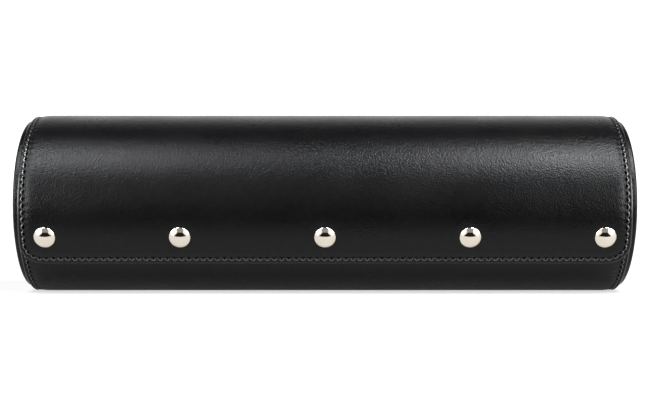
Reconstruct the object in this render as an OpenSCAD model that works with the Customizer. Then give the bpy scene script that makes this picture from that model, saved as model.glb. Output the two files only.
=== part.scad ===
// Watch roll: a rigid leather-covered tube, closed by a flap with five snaps, with
// five watch cushions between round dividers. X runs along the roll, -Y is the front
// and Z is up. The origin lies in the middle of the flat that the roll rests on.
// Angles are seen in the roll's cross-section: 0 is the front and 90 the top.

/* [Wrap] */
// Outer radius of the rolled leather wrap
wrap_r = 52; // [48:0.5:60]
// Length of the wrap between its two sewn ends
wrap_len = 343; // [310:1:380]
// Thickness of the wrap's outer leather
leather_t = 1.5; // [1.3:0.1:2]
// Thickness of the stiffening board behind the leather
board_t = 1.2; // [1:0.1:2]
// Thickness of the suede lining
lining_t = 0.8; // [0.5:0.1:1.2]
// Width of the leather turned over the board's edges
turn_w = 1.5; // [1:0.1:3]
// Angle of the front wall's top edge
mouth_a = -6; // [-10:1:4]
// Depth of the flat that the roll rests on
rest_flat = 0.5; // [0.3:0.1:0.9]

/* [Flap] */
// Angle of the hinge line behind the top
hinge_a = 120; // [105:1:130]
// Angle of the flap's lower edge
flap_edge_a = -38; // [-48:1:-34]
// How far each end of the flap stands in from the wrap's end
flap_inset = 1; // [0.5:0.1:4]
// How much larger the flap's outer radius is than the wrap's
flap_ease = 2; // [1.7:0.1:3]
// Thickness of the flap's leather
flap_leather_t = 1.4; // [1:0.1:1.5]
// Thickness of the flap's board
flap_board_t = 0.6; // [0.4:0.1:0.7]
// Thickness of the flap's lining
flap_lining_t = 0.4; // [0.3:0.1:0.5]
// Width of the flap's turned and sewn edge
flap_hem_w = 5; // [3:0.5:7]
// Radius of the flap's two front corners
flap_corner_r = 13; // [8:1:20]
// Width of the soft strip that bends as the hinge
strip_w = 6; // [4:0.5:8]
// Height of the bending axis over the wrap's outer face
hinge_lift = 0.2; // [0.1:0.05:0.4]
// Radius of the round crease pressed along the bending axis
crease_r = 0.7; // [0.5:0.1:1]

/* [End covers] */
// How far the end covers stand out of the wrap
rim_out = 2.7; // [2.2:0.1:5]
// Thickness of the end covers' leather
cover_t = 1.5; // [1.2:0.1:2]
// Radius of the rounded rim
rim_round_r = 2; // [1:0.1:2.2]
// Depth of the covers' flange inside the wrap
flange_depth = 9; // [8:0.5:14]
// Thickness of the boards in the ends
end_board_t = 2; // [1.5:0.1:3]
// Thickness of the linings in the ends
end_lining_t = 0.6; // [0.4:0.1:1]

/* [Dividers and cushions] */
// Thickness of a divider's board
divider_board_t = 2; // [1.5:0.1:3]
// Thickness of the suede over a divider
divider_cover_t = 0.5; // [0.3:0.1:0.8]
// Front-to-back depth of a cushion
cushion_depth = 62; // [54:1:68]
// Height of a cushion
cushion_h = 66; // [58:1:74]
// Free space between a cushion and a divider
cushion_side_gap = 1.5; // [0.5:0.1:4]
// Free space between a cushion and the lining under it
cushion_gap = 0.3; // [0.1:0.1:1]
// Part of its section that a cushion loses towards each seam
cushion_draw = 0.07; // [0.02:0.01:0.12]
// Height of the bulge in a cushion's end panels
cushion_puff = 4; // [2:0.5:6]
// Thickness of the cover and wadding over the foam core
wadding_t = 6; // [5:0.5:8]
// Radius of the foam core's corners
foam_corner_r = 20; // [16:1:24]

/* [Snaps] */
// Angle at which the snaps sit
snap_a = -20; // [-24:1:-16]
// Distance of the inner snaps from the middle one
snap_pitch = 80.8; // [70:0.1:90]
// Distance of the outer snaps from the flap's ends
snap_edge = 14.5; // [12:0.1:20]
// Diameter of a snap's cap
cap_d = 12; // [11.5:0.1:14]
// Height of a cap's dome
cap_h = 2.8; // [2:0.1:3.4]
// Height of the straight edge under the dome
cap_edge_h = 0.5; // [0.3:0.1:1]
// Depth to which a cap presses into the leather
cap_sink = 0.5; // [0.45:0.05:0.7]
// Radius of the posts of the caps and the barrels of the studs
post_r = 1.6; // [1.4:0.05:1.65]
// Outer radius of a socket
socket_r = 5.2; // [4.8:0.1:5.6]
// Radius of the hollow in a socket
socket_hollow_r = 3.8; // [3.6:0.1:4.2]
// Thickness of a socket's roof
socket_roof_t = 0.3; // [0.2:0.05:0.35]
// Radius of the flared end of a cap's post
flare_r = 2.3; // [2:0.1:2.8]
// Thickness of the flared end of a cap's post
flare_t = 0.25; // [0.15:0.05:0.3]
// Radius of a socket's spring wire
wire_r = 0.25; // [0.2:0.01:0.27]
// Radius of a stud's head
stud_head_r = 1.9; // [1.85:0.05:2.1]
// Height of the widest part of a stud's head
stud_head_h = 0.2; // [0.15:0.05:0.25]
// Radius of the flanges of the studs and the eyelets
snap_flange_r = 4.5; // [4:0.1:4.8]
// Thickness of the flanges of the studs and the eyelets
snap_flange_t = 0.4; // [0.3:0.05:0.45]
// Radius of an eyelet's barrel
eyelet_r = 1; // [0.8:0.05:1.1]

/* [Hidden] */
$fn = 128;

// Watch places, and so cushions, with a divider between each two
place_count = 5;
leather_colour = [0.09, 0.09, 0.1];
board_colour = [0.55, 0.48, 0.4];
suede_colour = [0.62, 0.59, 0.55];
foam_colour = [0.9, 0.88, 0.8];
metal_colour = [0.86, 0.8, 0.7];
// Overshoot of a cutting shape past the faces that it cuts
cut = 1;
// Running clearance of a post in its hole
hole_gap = 0.1;
// Clearance between the closed halves of a snap
snap_gap = 0.3;

// Radii of the layers of the wrap, from the outside in
board_r = wrap_r - leather_t;
cover_r = board_r - board_t;
inner_r = cover_r - lining_t;
axis_z = wrap_r - rest_flat;
wrap_half = wrap_len / 2;
end_x = wrap_half + rim_out;
flange_x = end_x - flange_depth;
inner_half = end_x - cover_t - end_board_t - end_lining_t;

// The flap's circle is larger than the wrap's and touches it at the hinge line
flap_r = wrap_r + flap_ease;
flap_centre = flap_ease * [cos(hinge_a - 180), sin(hinge_a - 180)];
flap_half = wrap_half - flap_inset;
flap_mid_r = flap_r - flap_leather_t;
flap_lining_r = flap_mid_r - flap_board_t;
flap_inner_r = flap_lining_r - flap_lining_t;
strip_half_a = (strip_w / 2) / wrap_r * 180 / PI;
wall_top_a = hinge_a + strip_half_a;
flap_top_a = hinge_a - strip_half_a;
turn_a = turn_w / wrap_r * 180 / PI;
corner_a = flap_corner_r / flap_r * 180 / PI;

divider_t = divider_board_t + 2 * divider_cover_t;
place_w = (2 * inner_half - (place_count - 1) * divider_t) / place_count;
cushion_w = place_w - 2 * cushion_side_gap;
// Height of a cushion's middle over the rest flat
cushion_z = axis_z - inner_r + cushion_gap + cushion_h / 2;
// Shape of a cushion: exponent of its oval, points round it and rings along it
oval_power = 2.3;
oval_steps = 32;
crown_steps = 8;
panel_steps = [0.35, 0.65, 0.88];

snap_outer_x = flap_half - snap_edge;
snap_xs = [-snap_outer_x, -snap_pitch, 0, snap_pitch, snap_outer_x];
stud_seat_d = wrap_r - snap_flange_t / 2;
stud_top_d = stud_seat_d + snap_flange_t;
socket_mouth_d = stud_top_d + snap_gap;
socket_seat_d = flap_reach(flap_mid_r, snap_a);
socket_roof_d = socket_seat_d - socket_roof_t;
stud_head_d = socket_roof_d - flare_t - hole_gap;
wire_d = socket_mouth_d + hole_gap + wire_r;
wire_x = post_r + hole_gap + wire_r;
cap_seat_d = flap_reach(flap_r, snap_a) - cap_sink;
eyelet_seat_d = cover_r + snap_flange_t;
// Distance from the wrap's axis that is past the flap at any angle
flap_far_d = flap_r + flap_ease + cut;

// Distance from the wrap's axis to a circle of the flap, at an angle
function flap_reach(radius, angle) =
    let (turn = angle - (hinge_a - 180))
    flap_ease * cos(turn) + sqrt(pow(radius, 2) - pow(flap_ease * sin(turn), 2));

// Middle of a watch place along the roll, counted from 1 at the left
function place_x(number) = (number - (place_count + 1) / 2) * (place_w + divider_t);

// Middle of a divider along the roll
function divider_x(number) = (number - place_count / 2) * (place_w + divider_t);

// Wedge with its point on the wrap's axis, between two angles
module wedge(from_a, to_a) {
    far = 3 * wrap_r;
    steps = 8;
    polygon(concat([[0, 0]], [
        for (i = [0 : steps])
        let (angle = from_a + (to_a - from_a) * i / steps)
        far * [cos(angle), sin(angle)]
    ]));
}

// Part of a ring between two angles, with its own centre
module ring_part(outer, inner, from_a, to_a, centre = [0, 0]) {
    intersection() {
        translate(centre)
            difference() {
                circle(r = outer);
                circle(r = inner);
            }
        wedge(from_a, to_a);
    }
}

// Extrudes a cross-section along the roll, with its x to the front and its y up
module along_roll(length) {
    translate([0, 0, axis_z])
        rotate([90, 0, 90])
            linear_extrude(height = length, center = true)
                mirror([1, 0])
                    children();
}

// Turns a piece made along Z to lie along the roll, with its top at one end
module at_end(side) {
    translate([0, 0, axis_z])
        rotate([0, side * 90, 0])
            children();
}

// Places a piece with its Z axis pointing out from the wrap's axis at an angle
module facing(x, angle) {
    translate([x, 0, axis_z])
        rotate([90 - angle, 0, 0])
            children();
}

module at_snaps() {
    for (x = snap_xs)
        facing(x, snap_a)
            children();
}

module below_rest_face() {
    translate([-wrap_len, -wrap_r, -wrap_r])
        cube([2 * wrap_len, 2 * wrap_r, wrap_r]);
}

// Seat pressed into a layer by a round flange, with the hole for its post
module flange_seat(from_d, to_d, radius) {
    translate([0, 0, from_d])
        cylinder(r = radius + hole_gap, h = to_d - from_d);
}

module body_leather() {
    color(leather_colour)
        difference() {
            union() {
                along_roll(wrap_len)
                    ring_part(wrap_r, board_r, wall_top_a, mouth_a + 360);
                along_roll(wrap_len)
                    ring_part(wrap_r, cover_r, mouth_a + 360 - turn_a, mouth_a + 360);
                for (side = [-1, 1])
                    translate([side * (wrap_half - turn_w / 2), 0, 0])
                        along_roll(turn_w)
                            ring_part(wrap_r, cover_r, wall_top_a, mouth_a + 360);
            }
            below_rest_face();
            at_snaps() {
                flange_seat(stud_seat_d, wrap_r + cut, snap_flange_r);
                flange_seat(cover_r, wrap_r, post_r);
            }
        }
}

module body_board() {
    color(board_colour)
        difference() {
            along_roll(wrap_len - 2 * turn_w)
                ring_part(board_r, cover_r, wall_top_a, mouth_a + 360 - turn_a);
            at_snaps() {
                flange_seat(cover_r - cut, eyelet_seat_d, snap_flange_r);
                flange_seat(cover_r, wrap_r, post_r);
            }
        }
}

module body_lining() {
    color(suede_colour)
        along_roll(2 * flange_x)
            ring_part(cover_r, inner_r, wall_top_a, mouth_a + 360);
}

// The stretch of leather that bends when the flap opens
module hinge_strip() {
    color(leather_colour)
        difference() {
            along_roll(2 * flap_half)
                ring_part(wrap_r, board_r, flap_top_a, wall_top_a);
            along_roll(wrap_len)
                translate((wrap_r + hinge_lift) * [cos(hinge_a), sin(hinge_a)])
                    circle(r = crease_r);
        }
}

// Leather cup with a rounded rim, a flat face and a thin flange inside the wrap
module end_cover(side) {
    color(leather_colour)
        at_end(side)
            difference() {
                rotate_extrude()
                    union() {
                        translate([0, flange_x])
                            square([cover_r, end_x - rim_round_r - flange_x]);
                        translate([0, flange_x])
                            square([cover_r - rim_round_r, flange_depth]);
                        translate([cover_r - rim_round_r, end_x - rim_round_r])
                            intersection() {
                                circle(r = rim_round_r);
                                square(rim_round_r);
                            }
                    }
                translate([0, 0, flange_x - cut])
                    cylinder(r = inner_r, h = end_x - cover_t - flange_x + cut);
            }
}

module end_board(side) {
    color(board_colour)
        at_end(side)
            translate([0, 0, end_x - cover_t - end_board_t])
                cylinder(r = inner_r, h = end_board_t);
}

module end_lining(side) {
    color(suede_colour)
        at_end(side)
            translate([0, 0, inner_half])
                cylinder(r = inner_r, h = end_lining_t);
}

// Flat round plate across the roll
module disc(x, radius, thickness) {
    translate([x - thickness / 2, 0, axis_z])
        rotate([0, 90, 0])
            cylinder(r = radius, h = thickness);
}

module divider_board(number) {
    color(board_colour)
        disc(divider_x(number), inner_r - divider_cover_t, divider_board_t);
}

// Suede skin that closes round a divider's board
module divider_cover(number) {
    color(suede_colour)
        difference() {
            disc(divider_x(number), inner_r, divider_t);
            disc(divider_x(number), inner_r - divider_cover_t, divider_board_t);
        }
}

// Point of the cushion's oval, at an angle round it and a share of its full size
function oval_point(x, share, angle) = [
    x,
    share * cushion_depth / 2 * sign(cos(angle)) * pow(abs(cos(angle)), 2 / oval_power),
    share * cushion_h / 2 * sign(sin(angle)) * pow(abs(sin(angle)), 2 / oval_power)
];

// Place along the roll and share of the full oval of each ring of a cushion
function cushion_rings() =
    let (seam_x = cushion_w / 2 - cushion_puff, last = len(panel_steps) - 1)
    concat(
        [for (s = panel_steps)
            [-seam_x - cushion_puff * (1 - s * s), s * (1 - cushion_draw)]],
        [for (i = [0 : crown_steps])
            let (t = 2 * i / crown_steps - 1)
            [t * seam_x, 1 - cushion_draw * t * t]],
        [for (i = [last : -1 : 0])
            let (s = panel_steps[i])
            [seam_x + cushion_puff * (1 - s * s), s * (1 - cushion_draw)]]
    );

// Crowned pillow: widest in the middle, drawn in at both seams, with domed end panels
module cushion_form() {
    rings = cushion_rings();
    count = len(rings);
    points = concat(
        [for (ring = rings) for (j = [0 : oval_steps - 1])
            oval_point(ring[0], ring[1], j * 360 / oval_steps)],
        [[-cushion_w / 2, 0, 0], [cushion_w / 2, 0, 0]]
    );
    first_pole = count * oval_steps;
    sides = [
        for (i = [0 : count - 2]) for (j = [0 : oval_steps - 1])
        let (
            a = i * oval_steps + j,
            b = i * oval_steps + (j + 1) % oval_steps,
            c = a + oval_steps,
            d = b + oval_steps
        )
        each [[a, c, d], [a, d, b]]
    ];
    left = [for (j = [0 : oval_steps - 1]) [first_pole, j, (j + 1) % oval_steps]];
    right = [
        for (j = [0 : oval_steps - 1])
        let (start = (count - 1) * oval_steps)
        [first_pole + 1, start + (j + 1) % oval_steps, start + j]
    ];
    polyhedron(points = points, faces = concat(sides, left, right));
}

module foam_form() {
    depth = cushion_depth - 2 * wadding_t;
    height = cushion_h - 2 * wadding_t;
    length = cushion_w - 2 * cushion_puff - 2 * wadding_t;
    rotate([90, 0, 90])
        linear_extrude(height = length, center = true)
            union() {
                square([depth, height - 2 * foam_corner_r], center = true);
                square([depth - 2 * foam_corner_r, height], center = true);
                for (u = [-1, 1], v = [-1, 1])
                    translate([u * (depth / 2 - foam_corner_r), v * (height / 2 - foam_corner_r)])
                        circle(r = foam_corner_r);
            }
}

module cushion_cover(number) {
    color(suede_colour)
        translate([place_x(number), 0, cushion_z])
            difference() {
                cushion_form();
                foam_form();
            }
}

module cushion_foam(number) {
    color(foam_colour)
        translate([place_x(number), 0, cushion_z])
            foam_form();
}

// Stud: flange on the leather, barrel through the wall, neck and domed head
module snap_studs() {
    color(metal_colour)
        at_snaps()
            difference() {
                union() {
                    translate([0, 0, stud_seat_d])
                        cylinder(r = snap_flange_r, h = snap_flange_t);
                    translate([0, 0, eyelet_seat_d])
                        cylinder(r = post_r, h = stud_head_d - stud_head_h - eyelet_seat_d);
                    translate([0, 0, stud_head_d - 2 * stud_head_h])
                        stud_head();
                }
                translate([0, 0, eyelet_seat_d - cut])
                    cylinder(r = eyelet_r, h = stud_seat_d - eyelet_seat_d + cut);
            }
}

// Head that widens over the neck and narrows again to its top
module stud_head() {
    rotate_extrude()
        polygon([
            [0, 0],
            [post_r, 0],
            [stud_head_r, stud_head_h],
            [stud_head_r - stud_head_h, 1.6 * stud_head_h],
            [stud_head_r / 2, 2 * stud_head_h],
            [0, 2 * stud_head_h]
        ]);
}

module snap_eyelets() {
    color(metal_colour)
        at_snaps() {
            translate([0, 0, cover_r])
                cylinder(r = snap_flange_r, h = snap_flange_t);
            translate([0, 0, eyelet_seat_d])
                cylinder(r = eyelet_r, h = stud_seat_d - eyelet_seat_d);
        }
}

// Cuts one lower corner of the flap round, seen square to the leather there
module corner_cut(side, inset) {
    radius = flap_corner_r - inset;
    edge_a = flap_edge_a + inset / flap_r * 180 / PI;
    facing(side * (flap_half - inset), edge_a + corner_a / 2)
        translate([0, -flap_r * sin(corner_a / 2), 0])
            linear_extrude(height = 2 * flap_r)
                difference() {
                    translate([side > 0 ? -radius : -cut, -cut])
                        square(radius + cut);
                    translate([-side * radius, radius])
                        circle(r = radius);
                }
}

// A layer of the flap between two of its circles, held in from its sewn edges
module flap_layer(outer, inner, inset) {
    inset_a = inset / flap_r * 180 / PI;
    difference() {
        along_roll(2 * (flap_half - inset))
            ring_part(outer, inner, flap_edge_a + inset_a, flap_top_a - inset_a, flap_centre);
        for (side = [-1, 1])
            corner_cut(side, inset);
    }
}

module flap_leather() {
    color(leather_colour)
        difference() {
            flap_layer(flap_r, flap_lining_r, 0);
            flap_layer(flap_mid_r, flap_lining_r - cut, flap_hem_w);
            at_snaps() {
                flange_seat(cap_seat_d, flap_far_d, cap_d / 2);
                flange_seat(wrap_r, socket_seat_d, socket_r);
                flange_seat(wrap_r, flap_far_d, post_r);
            }
        }
}

module flap_board() {
    color(board_colour)
        difference() {
            flap_layer(flap_mid_r, flap_lining_r, flap_hem_w);
            at_snaps()
                flange_seat(wrap_r - cut, socket_seat_d + cut, socket_r);
        }
}

module flap_lining() {
    color(suede_colour)
        difference() {
            flap_layer(flap_lining_r, flap_inner_r, 0);
            at_snaps()
                flange_seat(wrap_r - cut, socket_seat_d, socket_r);
        }
}

// Domed cap with a post through the leather, flared under the socket's roof
module snap_caps() {
    dome_h = cap_h - cap_edge_h;
    dome_r = (pow(cap_d / 2, 2) + pow(dome_h, 2)) / (2 * dome_h);
    color(metal_colour)
        at_snaps() {
            translate([0, 0, cap_seat_d])
                cylinder(d = cap_d, h = cap_edge_h);
            intersection() {
                translate([0, 0, cap_seat_d + cap_h - dome_r])
                    sphere(r = dome_r);
                translate([0, 0, cap_seat_d + cap_edge_h])
                    cylinder(d = cap_d, h = cap_h);
            }
            translate([0, 0, socket_roof_d - flare_t])
                cylinder(r = post_r, h = cap_seat_d - socket_roof_d + flare_t);
            translate([0, 0, socket_roof_d - flare_t])
                cylinder(r = flare_r, h = flare_t);
        }
}

// Socket: a shallow metal cup open to the stud
module snap_sockets() {
    color(metal_colour)
        at_snaps()
            difference() {
                translate([0, 0, socket_mouth_d])
                    cylinder(r = socket_r, h = socket_seat_d - socket_mouth_d);
                translate([0, 0, socket_mouth_d - cut])
                    cylinder(r = socket_hollow_r, h = socket_roof_d - socket_mouth_d + cut);
                translate([0, 0, socket_roof_d - cut])
                    cylinder(r = post_r, h = socket_seat_d - socket_roof_d + 2 * cut);
            }
}

// Spring: two straight legs beside the stud's neck, joined by a bend over it
module snap_springs() {
    bend_y = socket_hollow_r - wire_x - wire_r - hole_gap / 2;
    leg_end_y = sqrt(pow(socket_hollow_r - hole_gap / 2, 2) - pow(wire_x + wire_r, 2));
    color(metal_colour)
        at_snaps()
            translate([0, 0, wire_d]) {
                translate([0, bend_y, 0])
                    rotate_extrude(angle = 180)
                        translate([wire_x, 0])
                            circle(r = wire_r, $fn = 24);
                for (side = [-1, 1])
                    translate([side * wire_x, bend_y, 0])
                        rotate([90, 0, 0])
                            cylinder(r = wire_r, h = bend_y + leg_end_y, $fn = 24);
            }
}

body_leather();
body_board();
body_lining();
hinge_strip();
end_cover(-1);  // end_cover_left
end_cover(1);  // end_cover_right
end_board(-1);  // end_board_left
end_board(1);  // end_board_right
end_lining(-1);  // end_lining_left
end_lining(1);  // end_lining_right
divider_board(1);  // divider_board_1
divider_board(2);  // divider_board_2
divider_board(3);  // divider_board_3
divider_board(4);  // divider_board_4
divider_cover(1);  // divider_cover_1
divider_cover(2);  // divider_cover_2
divider_cover(3);  // divider_cover_3
divider_cover(4);  // divider_cover_4
cushion_cover(1);  // cushion_cover_1
cushion_cover(2);  // cushion_cover_2
cushion_cover(3);  // cushion_cover_3
cushion_cover(4);  // cushion_cover_4
cushion_cover(5);  // cushion_cover_5
cushion_foam(1);  // cushion_foam_1
cushion_foam(2);  // cushion_foam_2
cushion_foam(3);  // cushion_foam_3
cushion_foam(4);  // cushion_foam_4
cushion_foam(5);  // cushion_foam_5
snap_studs();
snap_eyelets();
flap_leather();
flap_board();
flap_lining();
snap_caps();
snap_sockets();
snap_springs();
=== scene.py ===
import math

import bmesh
import bpy
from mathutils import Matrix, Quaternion, Vector


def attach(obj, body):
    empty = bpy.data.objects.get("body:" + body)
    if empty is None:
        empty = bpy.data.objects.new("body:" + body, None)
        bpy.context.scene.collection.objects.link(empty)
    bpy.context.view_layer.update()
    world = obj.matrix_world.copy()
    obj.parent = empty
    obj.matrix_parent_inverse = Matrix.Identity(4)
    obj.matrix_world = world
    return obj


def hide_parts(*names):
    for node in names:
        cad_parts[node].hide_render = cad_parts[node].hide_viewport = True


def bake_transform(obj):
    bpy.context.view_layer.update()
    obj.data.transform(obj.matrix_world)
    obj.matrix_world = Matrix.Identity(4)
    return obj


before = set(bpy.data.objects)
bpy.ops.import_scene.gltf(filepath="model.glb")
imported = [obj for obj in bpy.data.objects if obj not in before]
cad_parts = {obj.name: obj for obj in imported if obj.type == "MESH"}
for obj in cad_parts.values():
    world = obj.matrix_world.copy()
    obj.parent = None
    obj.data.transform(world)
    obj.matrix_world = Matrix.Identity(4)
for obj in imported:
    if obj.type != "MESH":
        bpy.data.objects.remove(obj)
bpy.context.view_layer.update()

# Sizes in millimetres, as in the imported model. X runs along the roll, -Y is the front.
# Angles are seen in the cross-section: 0 is the front and 90 the top.
MM = 0.001
AXIS_Z = 51.5

# Tube: outer radius, half length, layers of its wall, and angle of its front edge
WRAP_R = 52.0
WRAP_HALF = 171.5
LEATHER_T = 1.5
WALL_T = 2.7
LINING_T = 0.8
INNER_R = WRAP_R - WALL_T - LINING_T
MOUTH_A = -6.0

# Flap: hinge line, half of the strip that bends there, lower edge, and shape of its leather
HINGE_A = 120.0
STRIP_HALF = 3.0
FLAP_EDGE_A = -38.0
FLAP_EASE = 2.0
FLAP_R = WRAP_R + FLAP_EASE
FLAP_HALF = 170.8
FLAP_LEATHER_T = 1.4
FLAP_HEM_T = 2.0
HEM_W = 5.0
CORNER_R = 13.0

# End covers: outer face and radius
END_X = 174.6
COVER_R = WRAP_R - WALL_T

# Snaps: angle, places along the roll, and the cap's size
SNAP_A = -20.0
SNAP_XS = (-156.0, -80.8, 0.0, 80.8, 156.0)
CAP_R = 6.0
CAP_H = 2.8
CAP_EDGE_H = 0.5
CAP_SINK = 0.5

# Stitching: distance of the line from a side edge and from the front hem, and stitch length
STITCH_IN = 2.6
HEM_STITCH_IN = 3.4
STITCH_LEN = 4.0

# Edges curl in at the seams: width of the bend, and its depth on the flap and the tube
CURL_W = 4.5
FLAP_CURL = 0.55
TUBE_CURL = 0.3

FLAP_CENTRE = (
    FLAP_EASE * math.cos(math.radians(HINGE_A - 180)),
    FLAP_EASE * math.sin(math.radians(HINGE_A - 180)),
)


def flap_reach(radius, angle):
    """Distance from the wrap's axis to one of the flap's circles."""
    turn = math.radians(angle - (HINGE_A - 180))
    across = FLAP_EASE * math.sin(turn)
    return FLAP_EASE * math.cos(turn) + math.sqrt(radius ** 2 - across ** 2)


def flap_length(angle):
    """Length of leather from the hinge line to an angle seen from the wrap's axis."""
    reach = flap_reach(FLAP_R, angle)
    u = reach * math.cos(math.radians(angle)) - FLAP_CENTRE[0]
    v = reach * math.sin(math.radians(angle)) - FLAP_CENTRE[1]
    return FLAP_R * math.radians(HINGE_A - math.degrees(math.atan2(v, u)))


FLAP_END = flap_length(FLAP_EDGE_A)
SNAP_S = flap_length(SNAP_A)
WALL_END = WRAP_R * math.radians(MOUTH_A + 360 - HINGE_A)


def on_flap(x, s, h):
    """Point of the flap: s from the hinge line to the front, h out of the leather's face."""
    angle = math.radians(HINGE_A) - s / FLAP_R
    u = FLAP_CENTRE[0] + (FLAP_R + h) * math.cos(angle)
    v = FLAP_CENTRE[1] + (FLAP_R + h) * math.sin(angle)
    return (x, -u, AXIS_Z + v)


def on_wall(x, s, h):
    """Point of the tube: s from the hinge line down the back and round to the mouth."""
    angle = math.radians(HINGE_A) + s / WRAP_R
    u = (WRAP_R + h) * math.cos(angle)
    v = (WRAP_R + h) * math.sin(angle)
    return (x, -u, max(AXIS_Z + v, 0.0))


def on_strip(x, s, h):
    """Point of the bending strip, with s below 0 on the flap's side."""
    return on_flap(x, -s, h) if s < 0 else on_wall(x, s, h)


# Points of a mesh that are closer than this are one point
MERGE_DIST = 0.002


def make_piece(name, verts, faces, materials, uvs=None, face_slots=None, sharp=35):
    """Mesh object from millimetre points. uvs holds one pair of millimetres for each point."""
    mesh = bpy.data.meshes.new(name)
    mesh.from_pydata([(x * MM, y * MM, z * MM) for x, y, z in verts], [], faces)
    for mat in materials:
        mesh.materials.append(mat)
    if uvs is not None:
        layer = mesh.uv_layers.new(name="UVMap")
        for loop in mesh.loops:
            u, v = uvs[loop.vertex_index]
            layer.data[loop.index].uv = (u * MM, v * MM)
    if face_slots is not None:
        for polygon, index in zip(mesh.polygons, face_slots):
            polygon.material_index = index
    bm = bmesh.new()
    bm.from_mesh(mesh)
    bmesh.ops.remove_doubles(bm, verts=bm.verts, dist=MERGE_DIST * MM)
    bmesh.ops.recalc_face_normals(bm, faces=bm.faces)
    bm.to_mesh(mesh)
    bm.free()
    mesh.shade_smooth()
    mesh.set_sharp_from_angle(angle=math.radians(sharp))
    obj = bpy.data.objects.new(name, mesh)
    bpy.context.scene.collection.objects.link(obj)
    return obj


def settle(obj, body, slot, *nodes):
    """Rides a finished piece on its body and hides the imported nodes it stands for. The slot is
    not used.
    """
    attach(obj, body)
    if nodes:
        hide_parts(*nodes)


# Materials

# Sockets of a Mix node that mixes colours
MIX_FACTOR, MIX_A, MIX_B, MIX_RESULT = 0, 6, 7, 2
# The middle of a noise texture's range, where nearly all its values lie
NOISE_RANGE = (0.3, 0.7)


def new_material(name):
    mat = bpy.data.materials.new(name)
    mat.use_nodes = True
    tree = mat.node_tree
    return mat, tree, tree.nodes["Principled BSDF"]


def set_inputs(tree, node, inputs):
    """Links a node's inputs to sockets, or sets them to plain values."""
    for key, value in inputs.items():
        if isinstance(value, bpy.types.NodeSocket):
            tree.links.new(value, node.inputs[key])
        else:
            node.inputs[key].default_value = value


def add_node(tree, kind, inputs=None, **settings):
    node = tree.nodes.new(kind)
    for key, value in settings.items():
        setattr(node, key, value)
    set_inputs(tree, node, inputs or {})
    return node


def calc(tree, operation, *values):
    """Result of a Math node on sockets and numbers."""
    inputs = dict(enumerate(values))
    return add_node(tree, "ShaderNodeMath", inputs, operation=operation).outputs[0]


def noise(tree, where, scale, detail=2.0, rough=0.5):
    node = add_node(tree, "ShaderNodeTexNoise", {
        "Vector": where, "Scale": scale, "Detail": detail, "Roughness": rough})
    return node.outputs["Fac"]


def ramp(tree, value, source, target=(0.0, 1.0)):
    """Carries a value from one range to another, and holds it within the second."""
    node = add_node(tree, "ShaderNodeMapRange", {
        "Value": value, "From Min": source[0], "From Max": source[1],
        "To Min": target[0], "To Max": target[1]})
    return node.outputs["Result"]


def tint(tree, value, dark, light):
    """Colour between dark and light, by a value from 0 to 1."""
    node = add_node(tree, "ShaderNodeMix", {
        MIX_FACTOR: value, MIX_A: (*dark, 1), MIX_B: (*light, 1)}, data_type="RGBA")
    return node.outputs[MIX_RESULT]


def bump(tree, height, strength, distance, below=None):
    """Normal of a height in one more layer. The distance is in millimetres."""
    inputs = {"Height": height, "Strength": strength, "Distance": distance * MM}
    if below is not None:
        inputs["Normal"] = below
    return add_node(tree, "ShaderNodeBump", inputs).outputs["Normal"]


def coordinates(tree, kind="Object"):
    return add_node(tree, "ShaderNodeTexCoord").outputs[kind]


# Leather: its colour's two ends, the range of its roughness and the strength of its grain
LEATHER_DARK = (0.0018, 0.0018, 0.0021)
LEATHER_LIGHT = (0.0036, 0.0036, 0.004)
LEATHER_ROUGHNESS = (0.26, 0.33)
GRAIN = 0.55
# Fine wrinkles run aslant across the leather, and are stretched that many times
WRINKLE_TURN = 38
WRINKLE_STRETCH = 2.3


def leather_material(name, kind):
    """Smooth coated leather: fine pebbles, soft creases and uneven polish."""
    mat, tree, bsdf = new_material(name)
    where = coordinates(tree, kind)
    pebbles = add_node(tree, "ShaderNodeTexVoronoi", {
        "Vector": where, "Scale": 1350.0, "Randomness": 1.0}, feature="SMOOTH_F1")
    pebbles.inputs["Smoothness"].default_value = 0.5
    slant = add_node(tree, "ShaderNodeMapping", {
        "Vector": where, "Rotation": (0, 0, math.radians(WRINKLE_TURN)),
        "Scale": (1.0, WRINKLE_STRETCH, 1.0)})
    pores = noise(tree, where, scale=2400.0, detail=2.0, rough=0.6)
    wrinkles = noise(tree, slant.outputs[0], scale=640.0, detail=3.0, rough=0.62)
    creases = noise(tree, where, scale=260.0, detail=3.0, rough=0.55)
    waves = noise(tree, where, scale=30.0, detail=2.0, rough=0.5)
    # each layer's height, strength and distance
    layers = [
        (waves, 0.08, 1.2), (creases, 0.27, 0.55), (wrinkles, 0.4, 0.3),
        (pebbles.outputs["Distance"], 0.72, 0.3), (pores, 0.2, 0.12),
    ]
    normal = None
    for height, strength, distance in layers:
        normal = bump(tree, height, strength * GRAIN, distance, normal)
    shade = ramp(tree, creases, NOISE_RANGE)
    set_inputs(tree, bsdf, {
        "Base Color": tint(tree, shade, LEATHER_DARK, LEATHER_LIGHT),
        "Normal": normal,
        "Roughness": ramp(tree, waves, NOISE_RANGE, LEATHER_ROUGHNESS),
        "Specular IOR Level": 0.25,
    })
    return mat


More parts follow.
